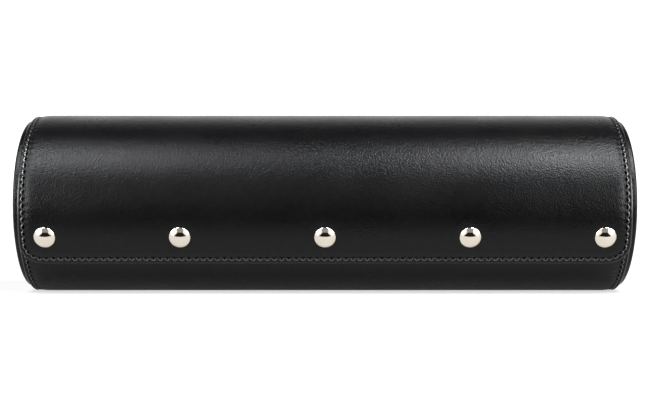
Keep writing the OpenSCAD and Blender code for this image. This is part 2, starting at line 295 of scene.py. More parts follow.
def suede_material(name, dark, light, scale=1.0):
    """Short matt nap: clouded colour, fine fibres and a soft sheen."""
    mat, tree, bsdf = new_material(name)
    where = coordinates(tree)
    clouds = noise(tree, where, scale=45.0 * scale, detail=4.0, rough=0.6)
    fibres = noise(tree, where, scale=1800.0 * scale, detail=3.0, rough=0.7)
    shade = ramp(tree, calc(tree, "ADD", clouds, fibres), (0.7, 1.3))
    normal = bump(tree, clouds, strength=0.15, distance=1.0)
    set_inputs(tree, bsdf, {
        "Base Color": tint(tree, shade, dark, light),
        "Normal": bump(tree, fibres, strength=0.5, distance=0.25, below=normal),
        "Roughness": 0.95,
        "Specular IOR Level": 0.2,
        "Sheen Weight": 0.35,
        "Sheen Roughness": 0.45,
    })
    return mat


def metal_material(name, colour, rough):
    """Plated metal with faint polishing marks."""
    mat, tree, bsdf = new_material(name)
    where = coordinates(tree)
    marks = noise(tree, where, scale=900.0, detail=4.0, rough=0.6)
    dull = noise(tree, where, scale=120.0, detail=2.0, rough=0.5)
    darker = tuple(0.94 * c for c in colour)
    set_inputs(tree, bsdf, {
        "Base Color": tint(tree, dull, colour, darker),
        "Normal": bump(tree, marks, strength=0.02, distance=0.05),
        "Roughness": ramp(tree, marks, NOISE_RANGE, (rough * 0.8, rough * 1.3)),
        "Metallic": 1.0,
    })
    return mat


def thread_material(name, colour):
    """Waxed sewing thread with its twist."""
    mat, tree, bsdf = new_material(name)
    plies = noise(tree, coordinates(tree), scale=2200.0, detail=2.0, rough=0.6)
    lighter = tuple(1.6 * c for c in colour)
    set_inputs(tree, bsdf, {
        "Base Color": tint(tree, plies, colour, lighter),
        "Normal": bump(tree, plies, strength=0.4, distance=0.15),
        "Roughness": 0.27,
        "Specular IOR Level": 1.0,
        "Coat Weight": 0.35,
        "Coat Roughness": 0.24,
        "Coat IOR": 2.0,
    })
    return mat


def edge_material(name, dark, light):
    """Burnished and painted leather edge: glossier than the grain side, slightly wavy."""
    mat, tree, bsdf = new_material(name)
    ripples = noise(tree, coordinates(tree), scale=500.0, detail=3.0, rough=0.6)
    set_inputs(tree, bsdf, {
        "Base Color": tint(tree, ripples, dark, light),
        "Normal": bump(tree, ripples, strength=0.25, distance=0.25),
        "Roughness": ramp(tree, ripples, NOISE_RANGE, (0.16, 0.26)),
        "Specular IOR Level": 0.9,
    })
    return mat


def board_material(name, dark, light):
    """Pressed fibre board."""
    mat, tree, bsdf = new_material(name)
    flecks = noise(tree, coordinates(tree), scale=700.0, detail=4.0, rough=0.65)
    set_inputs(tree, bsdf, {
        "Base Color": tint(tree, flecks, dark, light),
        "Normal": bump(tree, flecks, strength=0.3, distance=0.2),
        "Roughness": 0.85,
    })
    return mat


LEATHER = leather_material("outer_leather", "UV")
EDGE_PAINT = edge_material("edge_paint", (0.003, 0.003, 0.0035), (0.006, 0.006, 0.0065))
END_LEATHER = leather_material("end_leather", "Object")
SUEDE = suede_material("lining_suede", (0.30, 0.275, 0.245), (0.40, 0.37, 0.335))
CUSHION_SUEDE = suede_material(
    "cushion_suede", (0.33, 0.305, 0.27), (0.44, 0.41, 0.37), scale=0.9)
THREAD = thread_material("black_thread", (0.012, 0.012, 0.013))
SNAP_METAL = metal_material("champagne_nickel", (0.98, 0.89, 0.775), rough=0.06)
SPRING_STEEL = metal_material("spring_steel", (0.62, 0.62, 0.61), rough=0.22)
BOARD = board_material("fibre_board", (0.30, 0.25, 0.20), (0.42, 0.36, 0.30))


# Stitched edges

# Leather round a seam, in depths and widths: a narrow groove just outside the line, a wider
# dip that is deepest in the middle of each stitch, and there a pocket with a raised rim
GROOVE_DEPTH, GROOVE_W, GROOVE_OUT = 0.22, 1.0, 0.2
DIP_DEPTH, DIP_SWING = 0.48, 0.12
DIP_W_INSIDE, DIP_W_OUTSIDE = 3.2, 1.9
POCKET_DEPTH, POCKET_IN, POCKET_POWER = 0.85, 0.4, 3.2
POCKET_HALF_LEN, POCKET_HALF_W = 1.2, 0.75
RIM_HEIGHT, RIM_AWAY, RIM_W = 0.14, 1.6, 0.45

# Thread of one stitch: radius, sides and steps, and the shares of the stitch where it leaves
# the first hole and that it spans
THREAD_R = 0.40
THREAD_SIDES = 8
THREAD_STEPS = 11
THREAD_START, THREAD_SPAN = 0.04, 0.92
# Its depth in the holes and its rise between them, and how far it bows towards the edge. The
# second number is what the front hem adds.
HOLE_DEPTH = 1.35
THREAD_RISE, RISE_POWER = (0.75, 0.25), 4
THREAD_BOW, BOW_POWER, BOW_BACK = (0.6, 0.8), 1.25, 0.3
# The lowest threads stay that far over the table
THREAD_FLOOR = 0.05


def bell(value, width):
    return math.exp(-(value / width) ** 2)


def curl(edge, most):
    """How far a sheet bends in towards its edge, pulled down by the seam."""
    return -most * bell(edge, CURL_W)


def sewn_height(edge, along, seam=STITCH_IN, most=FLAP_CURL):
    """Height of the leather's face at a distance from its edge and a place along the seam."""
    beside = edge - seam
    turn = 2 * math.pi * along / STITCH_LEN
    near = (along / STITCH_LEN) % 1.0
    off = (near - 0.5) * STITCH_LEN
    away = math.hypot(off / POCKET_HALF_LEN, (beside - POCKET_IN) / POCKET_HALF_W)
    groove = -GROOVE_DEPTH * bell(beside + GROOVE_OUT, GROOVE_W)
    dip_w = DIP_W_INSIDE if beside > 0 else DIP_W_OUTSIDE
    dip = -(DIP_DEPTH - DIP_SWING * math.cos(turn)) * bell(beside, dip_w)
    pocket = -POCKET_DEPTH * math.exp(-away ** POCKET_POWER)
    rim = (RIM_HEIGHT if beside > POCKET_IN else 0.0) * bell(away - RIM_AWAY, RIM_W)
    return groove + dip + pocket + rim + curl(edge, most)


def stitch_path(k, seam, locate):
    """Middle line of one thread, down into the leather at both its ends."""
    front = (seam - STITCH_IN) / (HEM_STITCH_IN - STITCH_IN)
    bow = THREAD_BOW[0] + THREAD_BOW[1] * front
    rise = THREAD_RISE[0] + THREAD_RISE[1] * front
    path = []
    for i in range(THREAD_STEPS):
        t = i / (THREAD_STEPS - 1)
        outwards = abs(2 * t - 1)
        along = (k + THREAD_START + THREAD_SPAN * t) * STITCH_LEN
        edge = seam + BOW_BACK * bow - bow * (1 - outwards ** BOW_POWER)
        height = -HOLE_DEPTH + rise * (1 - outwards ** RISE_POWER)
        path.append(Vector(locate(along, edge, height)))
    return path


def seam_threads(count, locate, seam_at):
    """Stitches, each a bent thread from hole to hole. locate maps (along, edge, height)."""
    sides, last = THREAD_SIDES, THREAD_STEPS - 1
    verts, faces = [], []
    for k in range(count):
        start = len(verts)
        middle = (k + 0.5) * STITCH_LEN
        seam = seam_at(middle)
        path = stitch_path(k, seam, locate)
        out = Vector(locate(middle, seam, 5.0)) - Vector(locate(middle, seam, 0.0))
        for i, point in enumerate(path):
            ahead = path[min(i + 1, last)] - path[max(i - 1, 0)]
            ahead.normalize()
            side = ahead.cross(out).normalized()
            up = side.cross(ahead).normalized()
            for j in range(sides):
                angle = 2 * math.pi * j / sides
                x, y, z = point + THREAD_R * (math.cos(angle) * side + math.sin(angle) * up)
                verts.append((x, y, max(z, THREAD_FLOOR)))
        for i in range(last):
            for j in range(sides):
                a = start + i * sides + j
                b = start + i * sides + (j + 1) % sides
                faces.append((a, b, b + sides, a + sides))
        faces.append(tuple(start + j for j in reversed(range(sides))))
        faces.append(tuple(start + last * sides + j for j in range(sides)))
    return verts, faces


def spaced(start, stop, step):
    """Values from start to stop, evenly spaced by about a step."""
    count = max(1, round(abs(stop - start) / step))
    return [start + (stop - start) * i / count for i in range(count + 1)]


# Flap leather: rings of points follow its outline inwards, so that the seam turns its corners

# Length of a fine step, how many fine steps make a coarse one, and how many times more steps
# a corner gets, because it is longer at its edge than along its seam
FINE = 0.38
COARSEN = 4
CORNER_STRETCH = 1.3
# Lengths along the seam: a side, a corner, the front hem between the corners, and all of it
SIDE_LEN = FLAP_END - CORNER_R - STRIP_HALF
ARC_LEN = math.pi / 2 * (CORNER_R - STITCH_IN)
BOTTOM_LEN = 2 * (FLAP_HALF - CORNER_R)
SEAM_LEN = 2 * (SIDE_LEN + ARC_LEN) + BOTTOM_LEN
# Width of the border that the rings cover
BORDER_W = CORNER_R

# Rings from the inner face, round the edge, to the outer face: distance from the edge, height
BACK_RINGS = [
    (BORDER_W, -FLAP_LEATHER_T), (HEM_W + 0.4, -FLAP_LEATHER_T), (HEM_W, -FLAP_HEM_T),
    (1.6, -FLAP_HEM_T), (0.75, -FLAP_HEM_T), (0.35, -FLAP_HEM_T + 0.12),
    (0.08, -FLAP_HEM_T + 0.42),
]
EDGE_RINGS = [(0.0, -1.1), (0.05, -0.62), (0.2, -0.3), (0.45, -0.11), (0.8, -0.02)]
FACE_EDGES = [
    1.2, 1.5, 1.8, 2.05, 2.3, 2.5, 2.7, 2.9, 3.1, 3.3, 3.5, 3.7, 3.9, 4.1, 4.3, 4.5,
    4.75, 5.05, 5.4, 5.9, 6.5, 7.2, 8.2, 9.6,
]
# How many of the rings on the back have coarse steps, and how many belong to the painted edge
COARSE_BACK_RINGS = 4
PAINTED_BACK_RINGS = 2

# Dimple round a cap: depth, width of its slope, and distance where it has ended
DIMPLE_DEPTH, DIMPLE_W, DIMPLE_REACH = 0.30, 1.6, 14


def flap_outline(along, edge):
    """Flat place (x, s) on the flap, from the way along the seam and the distance inwards."""
    mirrored = along > SEAM_LEN / 2
    t = SEAM_LEN - along if mirrored else along
    radius = CORNER_R - edge
    if t <= SIDE_LEN:
        x, s = -FLAP_HALF + edge, STRIP_HALF + t
    elif t <= SIDE_LEN + ARC_LEN:
        turn = (t - SIDE_LEN) / ARC_LEN * math.pi / 2
        x = -FLAP_HALF + CORNER_R - radius * math.cos(turn)
        s = FLAP_END - CORNER_R + radius * math.sin(turn)
    else:
        x, s = -FLAP_HALF + CORNER_R + t - SIDE_LEN - ARC_LEN, FLAP_END - edge
    return (-x if mirrored else x), s


def flap_seam(along):
    """Distance of the flap's seam from its edge: wider along the front hem than at the sides."""
    t = min(along, SEAM_LEN - along)
    share = min(max((t - SIDE_LEN) / ARC_LEN, 0.0), 1.0)
    return STITCH_IN + (HEM_STITCH_IN - STITCH_IN) * share * share * (3 - 2 * share)


def whole_steps(length):
    """Number of fine steps in a length, divisible into coarse ones."""
    return COARSEN * max(1, round(length / FINE / COARSEN))


def seam_columns():
    """Places along the flap's seam, and the numbers of steps on a side and along the hem."""
    side, bottom = whole_steps(SIDE_LEN), whole_steps(BOTTOM_LEN)
    corner = whole_steps(ARC_LEN * CORNER_STRETCH)
    out = [SIDE_LEN * i / side for i in range(side)]
    out += [SIDE_LEN + ARC_LEN * i / corner for i in range(corner)]
    out += [SIDE_LEN + ARC_LEN + BOTTOM_LEN * i / bottom for i in range(bottom)]
    out += [SIDE_LEN + ARC_LEN + BOTTOM_LEN + ARC_LEN * i / corner for i in range(corner)]
    out += [SIDE_LEN + 2 * ARC_LEN + BOTTOM_LEN + SIDE_LEN * i / side for i in range(side + 1)]
    return out, side, bottom


def cap_dimple(x, s):
    """Leather pressed down round each snap cap."""
    depth = 0.0
    for cap_x in SNAP_XS:
        away = math.hypot(x - cap_x, s - SNAP_S)
        if away < DIMPLE_REACH:
            depth -= DIMPLE_DEPTH * bell(max(away - CAP_R, 0), DIMPLE_W)
    return depth


def bridge(first, second):
    """Faces between two rings. A coarse step of one may meet several fine ones of the other."""
    if len(first) == len(second):
        return [
            (first[i], first[i + 1], second[i + 1], second[i])
            for i in range(len(first) - 1)]
    if len(first) < len(second):
        return [
            (first[i], first[i + 1], *reversed(second[i * COARSEN:(i + 1) * COARSEN + 1]))
            for i in range(len(first) - 1)]
    return [
        (*first[i * COARSEN:(i + 1) * COARSEN + 1], second[i + 1], second[i])
        for i in range(len(second) - 1)]


def build_flap_leather():
    columns, side, bottom = seam_columns()
    every = range(len(columns))
    coarse = every[::COARSEN]
    verts, uvs, faces = [], [], []

    def add(x, s, h):
        verts.append(on_flap(x, s, h))
        uvs.append((x, s))
        return len(verts) - 1

    def ring(edge, height, steps):
        """Points at one distance from the edge. With no height they lie on the sewn face."""
        out = []
        for i in steps:
            x, s = flap_outline(columns[i], edge)
            if height is None:
                h = sewn_height(edge, columns[i], flap_seam(columns[i])) + cap_dimple(x, s)
            else:
                h = height + curl(edge, FLAP_CURL)
            out.append(add(x, s, h))
        return out

    rings = [ring(edge, height, coarse) for edge, height in BACK_RINGS[:COARSE_BACK_RINGS]]
    fine_rings = BACK_RINGS[COARSE_BACK_RINGS:] + EDGE_RINGS
    rings += [ring(edge, height, every) for edge, height in fine_rings]
    rings += [ring(edge, None, every) for edge in FACE_EDGES]
    rings.append(ring(BORDER_W, None, coarse))
    first_face_ring = len(BACK_RINGS) + len(EDGE_RINGS)
    painted = range(len(BACK_RINGS) - PAINTED_BACK_RINGS, first_face_ring - 1)
    face_slots = []
    for number, (first, second) in enumerate(zip(rings, rings[1:])):
        band = bridge(first, second)
        faces += band
        face_slots += [1 if number in painted else 0] * len(band)
    # middle fields of the outer and the inner face, on the coarse steps
    rows = [columns[i] for i in range(0, side + 1, COARSEN)]
    hem_start = SIDE_LEN + ARC_LEN
    xs = [
        flap_outline(hem_start + BOTTOM_LEN * i / bottom, BORDER_W)[0]
        for i in range(0, bottom + 1, COARSEN)]
    for outer in (True, False):
        grid = []
        for t in rows:
            line = []
            for x in xs:
                s = STRIP_HALF + t
                h = sewn_height(BORDER_W, 0) + cap_dimple(x, s) if outer else -FLAP_LEATHER_T
                line.append(add(x, s, h))
            grid.append(line)
        for upper, lower in zip(grid, grid[1:]):
            for j in range(len(xs) - 1):
                faces.append((upper[j], upper[j + 1], lower[j + 1], lower[j]))
                face_slots.append(0)
    return make_piece("flap_leather_shell", verts, faces, [LEATHER, EDGE_PAINT], uvs, face_slots)


flap_leather = build_flap_leather()
settle(flap_leather, "flap", "outer_leather", "flap_leather")


def flap_seam_point(along, edge, h):
    x, s = flap_outline(min(max(along, 0.0), SEAM_LEN), edge)
    return on_flap(x, s, h + curl(edge, FLAP_CURL))


thread_verts, thread_faces = seam_threads(
    int(SEAM_LEN / STITCH_LEN), flap_seam_point, flap_seam)
flap_stitching = make_piece("flap_stitching", thread_verts, thread_faces, [THREAD])
settle(flap_stitching, "flap", "outer_leather")


# Tube leather and bending strip: closed loops across the sheet, one for each step along it

# Inner side near an edge: distance from the edge and height, then where the turned part ends
BACK_EDGE = [(0.08, 0.42), (0.35, 0.12), (0.75, 0.0), (1.5, 0.0)]
TURN_IN = 1.8
# Step across the middle of a sheet, and width of its painted edge
MIDDLE_STEP = 4.0
PAINT_W = 0.9

# Wall's mouth: how its edge is rounded, how far the leather is turned in there, and distances
# of rows from it, first of the last even one and then of those after it
MOUTH_ROUND, MOUTH_DROP = 0.8, 0.5
MOUTH_TURN_IN = 1.5
LAST_EVEN_ROW = 1.6
MOUTH_ROWS = (1.5, 1.2, 0.8, 0.6, 0.4, 0.25, 0.12, 0.03, 0.0)
# The seams of the tube end that far from its mouth
SEAM_STOP = 2.0


def cross_loop(half, face_h, back_h, s, most=TUBE_CURL):
    """Closed line of points (x, height) over the outer face and back along the inner one."""
    edge_part = [(edge, height + curl(edge, most)) for edge, height in EDGE_RINGS]
    left = [(-half + edge, height) for edge, height in edge_part]
    left += [(-half + edge, face_h(edge, s)) for edge in FACE_EDGES]
    middle = [
        (x, face_h(BORDER_W, s))
        for x in spaced(-half + BORDER_W, half - BORDER_W, MIDDLE_STEP)]
    right = [(half - edge, face_h(edge, s)) for edge in reversed(FACE_EDGES)]
    right += [(half - edge, height) for edge, height in reversed(edge_part)]
    turned, inner = back_h(0.0, s), back_h(BORDER_W, s)
    back = [(half - edge, turned + height) for edge, height in BACK_EDGE]
    back += [(half - TURN_IN, inner), (-half + TURN_IN, inner)]
    back += [(-half + edge, turned + height) for edge, height in reversed(BACK_EDGE)]
    return left + middle + right + back


def lofted_sheet(name, loops, place):
    """Closed solid through equal loops of (x, height), each at its own s."""
    verts, uvs, faces = [], [], []
    size = len(loops[0][1])
    for s, loop in loops:
        for x, h in loop:
            verts.append(place(x, s, h))
            uvs.append((x, -s))
    last = len(loops) - 1
    for i in range(last):
        for j in range(size):
            a = i * size + j
            b = i * size + (j + 1) % size
            faces.append((a, b, b + size, a + size))
    faces.append(tuple(range(size)))
    faces.append(tuple(last * size + j for j in range(size)))
    reach = max(x for x, h in loops[0][1])
    face_slots = []
    for face in faces:
        nearest = min(abs(verts[i][0]) for i in face)
        face_slots.append(1 if nearest > reach - PAINT_W and len(face) == 4 else 0)
    return make_piece(name, verts, faces, [LEATHER, EDGE_PAINT], uvs, face_slots)


def wall_face_h(edge, s):
    """Outer face of the wall, rounded off at the mouth."""
    turn = min(max((s - (WALL_END - MOUTH_ROUND)) / MOUTH_ROUND, 0.0), 1.0)
    height = sewn_height(edge, s - STRIP_HALF, most=TUBE_CURL) * (1 - turn)
    return height - MOUTH_DROP * (1 - math.sqrt(1 - turn * turn))


def wall_back_h(edge, s):
    """Back of the wall's leather, which is turned over the board at its edges."""
    over_board = edge < 1 or s > WALL_END - MOUTH_TURN_IN
    return -WALL_T if over_board else -LEATHER_T


def build_wall():
    rows = spaced(STRIP_HALF, WALL_END - LAST_EVEN_ROW, FINE)
    rows += [WALL_END - e for e in MOUTH_ROWS]
    loops = [(s, cross_loop(WRAP_HALF, wall_face_h, wall_back_h, s)) for s in rows]
    return lofted_sheet("tube_leather", loops, on_wall)


tube_leather = build_wall()
settle(tube_leather, "body", "outer_leather", "body_leather")

for label, side in (("left", -1), ("right", 1)):
    def wall_seam_point(along, edge, h, side=side):
        return on_wall(side * (WRAP_HALF - edge), STRIP_HALF + along, h + curl(edge, TUBE_CURL))

    thread_verts, thread_faces = seam_threads(
        int((WALL_END - STRIP_HALF - SEAM_STOP) / STITCH_LEN), wall_seam_point,
        lambda along: STITCH_IN)
    stitching = make_piece(f"tube_stitching_{label}", thread_verts, thread_faces, [THREAD])
    settle(stitching, "body", "outer_leather")


# Bending strip: leather outside, suede inside, with a crease along the hinge line

STRIP_STEP = 0.25
STRIP_T = 2.55
CREASE_DEPTH, CREASE_W = 0.45, 0.7
# The suede covers faces that lie that far from the strip's ends and under its outer face
SUEDE_EDGE, SUEDE_UNDER = 1.2, 1.7


def build_strip():
    loops = []
    for s in spaced(STRIP_HALF, -STRIP_HALF, STRIP_STEP):
        share = (s + STRIP_HALF) / (2 * STRIP_HALF)
        half = FLAP_HALF + (WRAP_HALF - FLAP_HALF) * share
        most = FLAP_CURL + (TUBE_CURL - FLAP_CURL) * share
        crease = -CREASE_DEPTH * bell(s, CREASE_W)

        def face_h(edge, at, most=most, crease=crease):
            return sewn_height(edge, at - STRIP_HALF, most=most) + crease

        def back_h(edge, at):
            return -STRIP_T

        loops.append((s, cross_loop(half, face_h, back_h, s, most)))
    strip = lofted_sheet("hinge_leather", loops, on_strip)
    strip.data.materials.append(SUEDE)
    suede_slot = len(strip.data.materials) - 1
    for polygon in strip.data.polygons:
        centre = polygon.center / MM
        away = math.hypot(centre.y, centre.z - AXIS_Z)
        if abs(centre.x) < FLAP_HALF - SUEDE_EDGE and away < WRAP_R - SUEDE_UNDER:
            polygon.material_index = suede_slot
    return strip


hinge_leather = build_strip()
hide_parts("hinge_strip")
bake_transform(hinge_leather)


# Round pieces

def lathe(name, profile, turn, material, steps):
    """Solid of revolution from (radius, height) points. turn maps a local point to the roll."""
    verts, faces = [], []
    for radius, height in profile:
        for j in range(steps):
            angle = 2 * math.pi * j / steps
            verts.append(turn(radius * math.cos(angle), radius * math.sin(angle), height))
    for i in range(len(profile) - 1):
        for j in range(steps):
            a = i * steps + j
            b = i * steps + (j + 1) % steps
            faces.append((a, b, b + steps, a + steps))
    return make_piece(name, verts, faces, [material])


def arc(centre_r, centre_h, radius, start, stop, steps):
    """Points of an arc in a lathe profile, angles from the radial direction."""
    out = []
    for i in range(steps + 1):
        angle = math.radians(start + (stop - start) * i / steps)
        out.append((centre_r + radius * math.cos(angle), centre_h + radius * math.sin(angle)))
    return out


def at_end(side):
    """Turns lathe points towards one end of the roll."""
    def turn(a, b, height):
        return (side * height, a, AXIS_Z + b)
    return turn


def at_snap(x):
    """Turns lathe points outwards at the snaps' angle, with heights from the wrap's axis."""
    angle = math.radians(SNAP_A)
    out = Vector((0, -math.cos(angle), math.sin(angle)))
    up = Vector((0, math.sin(angle), math.cos(angle)))

    def turn(a, b, height):
        point = Vector((x + a, 0, AXIS_Z)) + b * up + height * out
        return tuple(point)
    return turn


def disc_profile(radius, low, high, rounding, steps=5):
    """Flat round plate with rounded rims."""
    return (
        [(0.0, low), (radius * 0.5, low)]
        + arc(radius - rounding, low + rounding, rounding, -90, 0, steps)
        + arc(radius - rounding, high - rounding, rounding, 0, 90, steps)
        + [(radius * 0.5, high), (0.0, high)]
    )


# End covers, their boards and linings
RIM_R = 1.4
FLANGE_X = END_X - 9.0
FLANGE_BEVEL = 0.3
COVER_T = 1.5
END_BOARD_T = 2.0
END_LINING_T = 0.6
# Outer face of a cover: flat, with a shallow pressed line inside its rim (radius, depth)
COVER_FACE = [
    (0.0, 0.0), (15.0, 0.0), (30.0, 0.0), (42.0, 0.0), (45.2, 0.02),
    (46.1, 0.12), (46.6, 0.13), (47.0, 0.03),
]

cover_profile = [(radius, END_X - depth) for radius, depth in COVER_FACE]
cover_profile += arc(COVER_R - RIM_R, END_X - RIM_R, RIM_R, 88, 0, 8)
cover_profile += [
    (COVER_R, FLANGE_X + FLANGE_BEVEL), (COVER_R - FLANGE_BEVEL, FLANGE_X), (INNER_R, FLANGE_X),
    (INNER_R, END_X - COVER_T), (0.0, END_X - COVER_T),
]
lining_x = END_X - COVER_T - END_BOARD_T
end_lining_profile = disc_profile(
    INNER_R - 0.05, lining_x - END_LINING_T, lining_x, rounding=0.25)
for label, side in (("left", -1), ("right", 1)):
    cover = lathe(f"end_leather_{label}", cover_profile, at_end(side), END_LEATHER, steps=192)
    settle(cover, "body", "outer_leather", f"end_cover_{label}")
    lining = lathe(f"end_suede_{label}", end_lining_profile, at_end(side), SUEDE, steps=96)
    settle(lining, "body", "suede", f"end_lining_{label}")


# Snaps: the dome of each cap, with its skirt pressed into the leather

cap_seat = flap_reach(FLAP_R, SNAP_A) - CAP_SINK
dome_h = CAP_H - CAP_EDGE_H
dome_r = (CAP_R ** 2 + dome_h ** 2) / (2 * dome_h)
rim_angle = math.degrees(math.asin((dome_r - dome_h) / dome_r))
cap_profile = [
    (0.0, cap_seat), (CAP_R - 0.6, cap_seat), (CAP_R - 0.15, cap_seat + 0.1),
    (CAP_R, cap_seat + 0.3),
]
cap_profile += arc(0.0, cap_seat + CAP_H - dome_r, dome_r, rim_angle, 90, 28)
for number, x in enumerate(SNAP_XS, 1):
    cap = lathe(f"snap_cap_{number}", cap_profile, at_snap(x), SNAP_METAL, steps=96)
    cap.data.set_sharp_from_angle(angle=math.radians(80))
    settle(cap, "flap", "snap_metal", "snap_caps")

# Their lower halves on the tube's wall, and the sockets in the flap. Heights are distances
# from the wrap's axis.
STUD_SEAT, STUD_TOP = 51.8, 53.466
SOCKET_FACE, SOCKET_TOP = 52.5, 54.1
SOCKET_R = 5.2
HOLLOW_R = 3.8
stud_profile = (
    [(0.0, STUD_SEAT), (4.5, STUD_SEAT)]
    + arc(4.3, STUD_SEAT + 0.22, 0.2, -80, 80, 4)
    + [(3.2, STUD_SEAT + 0.46), (1.95, STUD_SEAT + 0.5)]
    + arc(1.95, STUD_SEAT + 0.75, 0.25, -100, -180, 3)
    + [(1.6, STUD_TOP - 0.55)]
    + arc(1.62, STUD_TOP - 0.3, 0.28, -70, 80, 6)
    + [(1.2, STUD_TOP - 0.04), (0.6, STUD_TOP), (0.0, STUD_TOP)]
)
socket_profile = (
    [(0.0, SOCKET_TOP), (SOCKET_R - 0.3, SOCKET_TOP), (SOCKET_R, SOCKET_TOP - 0.3)]
    + arc(SOCKET_R - 0.35, SOCKET_FACE + 0.35, 0.35, 0, -90, 5)
    + arc(HOLLOW_R + 0.3, SOCKET_FACE + 0.3, 0.3, -90, -180, 5)
    + [(HOLLOW_R, SOCKET_TOP - 0.35), (0.0, SOCKET_TOP - 0.3)]
)
for number, x in enumerate(SNAP_XS, 1):
    stud = lathe(f"snap_stud_{number}", stud_profile, at_snap(x), SNAP_METAL, steps=64)
    settle(stud, "body", "snap_metal", "snap_studs")
    socket = lathe(f"snap_socket_{number}", socket_profile, at_snap(x), SNAP_METAL, steps=64)
    settle(socket, "flap", "snap_metal", "snap_sockets")


# Dividers: suede drawn round the rim of each board

DIVIDER_XS = (-102.96, -34.32, 34.32, 102.96)
DIVIDER_T = 3.0
divider_profile = disc_profile(
    INNER_R - 0.1, -DIVIDER_T / 2, DIVIDER_T / 2, rounding=1.2, steps=6)
for number, x in enumerate(DIVIDER_XS, 1):
    def at_divider(a, b, height, x=x):
        return (x + height, a, AXIS_Z + b)

    skin = lathe(f"divider_suede_{number}", divider_profile, at_divider, SUEDE, steps=144)
    settle(skin, "body", "suede", f"divider_cover_{number}", f"divider_board_{number}")


# Watch cushions: a sewn cover blown up as cloth, then seamed and gathered

CUSHION_XS = (-137.28, -68.64, 0.0, 68.64, 137.28)
CUSHION_W = 62.64
CUSHION_H = 66.0
CUSHION_D = 62.0
CUSHION_Z = 36.3
# Bulge of the end panels, share of its section lost towards the seams, and form of the oval
CUSHION_PUFF = 4.0
CUSHION_DRAW = 0.07
OVAL_POWER = 2.3
SEAM_X = CUSHION_W / 2 - CUSHION_PUFF
# Points round the section, shares of it that the rings of an end panel have, and rings
# between the seams
CUSHION_STEPS = 72
PANEL_SHARES = [0.1, 0.25, 0.42, 0.58, 0.72, 0.84, 0.94]
SIDE_RINGS = 18

# Cloth: share of the size that it starts from, how firmly its seams are held, how many frames
# it runs, and the furthest that a point may go
START_SHARE = 0.965
SEAM_HOLD = 0.6
CLOTH_FRAMES = 20
MOST_SWELL = 2.2

# Finish, in widths counted in rings: gathers at the seams, soft dents between them, and the
# pull of the seam itself
GATHER, GATHER_W, GATHER_ON_SEAM = 0.32, 2.2, 0.4
GATHER_WAVES = (19, 31)
DENT, DENT_LEN = 0.35, 11
SEAM_PULL, SEAM_PULL_W = 1.15, 0.7
# Cord sewn round the seams
PIPING_R = 0.85
PIPING_OUT = 0.25
PIPING_SIDES = 8


def oval(share, turn):
    """Point of the cushion's oval cross-section, at a share of its full size."""
    c, s = math.cos(turn), math.sin(turn)
    return (
        share * CUSHION_D / 2 * math.copysign(abs(c) ** (2 / OVAL_POWER), c),
        share * CUSHION_H / 2 * math.copysign(abs(s) ** (2 / OVAL_POWER), s),
    )


def cushion_rings():
    """Place along the roll and share of the oval of each ring, from one end to the other."""
    seam_share = 1 - CUSHION_DRAW
    panel = [(SEAM_X + CUSHION_PUFF * (1 - s * s), s * seam_share) for s in PANEL_SHARES]
    rings = [(-x, share) for x, share in panel]
    rings += [
        (t * SEAM_X, 1 - CUSHION_DRAW * t * t) for t in spaced(-1.0, 1.0, 2 / SIDE_RINGS)]
    rings += reversed(panel)
    return rings, len(panel), len(rings) - len(panel) - 1


def swell(verts, faces, held):
    """Blows the cover up as cloth and returns the moved points. held are points on the seams."""
    mesh = bpy.data.meshes.new("swell")
    mesh.from_pydata([tuple(c * MM for c in v) for v in verts], [], faces)
    obj = bpy.data.objects.new("swell", mesh)
    bpy.context.scene.collection.objects.link(obj)
    group = obj.vertex_groups.new(name="seams")
    group.add(held, SEAM_HOLD, "REPLACE")
    cloth = obj.modifiers.new("cloth", "CLOTH")
    cloth.settings.quality = 6
    cloth.settings.mass = 0.25
    cloth.settings.tension_stiffness = 12
    cloth.settings.compression_stiffness = 6
    cloth.settings.bending_stiffness = 0.8
    cloth.settings.use_pressure = True
    cloth.settings.uniform_pressure_force = 4
    cloth.settings.effector_weights.gravity = 0
    cloth.settings.vertex_group_mass = "seams"
    cloth.collision_settings.use_collision = False
    scene = bpy.context.scene
    for step in range(1, CLOTH_FRAMES + 1):
        scene.frame_set(step)
    solved = obj.evaluated_get(bpy.context.evaluated_depsgraph_get())
    moved = [tuple(c / MM for c in v.co) for v in solved.data.vertices]
    scene.frame_set(1)
    bpy.data.objects.remove(obj)
    bpy.data.meshes.remove(mesh)
    out = []
    for start, end in zip(verts, moved):
        step = Vector(end) - Vector(start)
        if step.length > MOST_SWELL:
            step *= MOST_SWELL / step.length
        out.append(tuple(Vector(start) + step))
    return out


def build_cushion_points():
    """Cover of a cushion round the origin: points, faces, its two seam rings, ring count."""
    rings, first_seam, last_seam = cushion_rings()
    n = CUSHION_STEPS
    verts = []
    for x, share in rings:
        for j in range(n):
            y, z = oval(share * START_SHARE, 2 * math.pi * j / n)
            verts.append((x * START_SHARE, y, z))
    faces = []
    for i in range(len(rings) - 1):
        for j in range(n):
            a, b = i * n + j, i * n + (j + 1) % n
            faces.append((a, b, b + n, a + n))
    last = (len(rings) - 1) * n
    end_x = rings[-1][0] * START_SHARE + 0.05
    verts += [(-end_x, 0, 0), (end_x, 0, 0)]
    left, right = len(verts) - 2, len(verts) - 1
    for j in range(n):
        faces.append((left, (j + 1) % n, j))
        faces.append((right, last + j, last + (j + 1) % n))
    held = [ring * n + j for ring in (first_seam, last_seam) for j in range(n)]
    verts = swell(verts, faces, held)
    return verts, faces, first_seam, last_seam, len(rings)


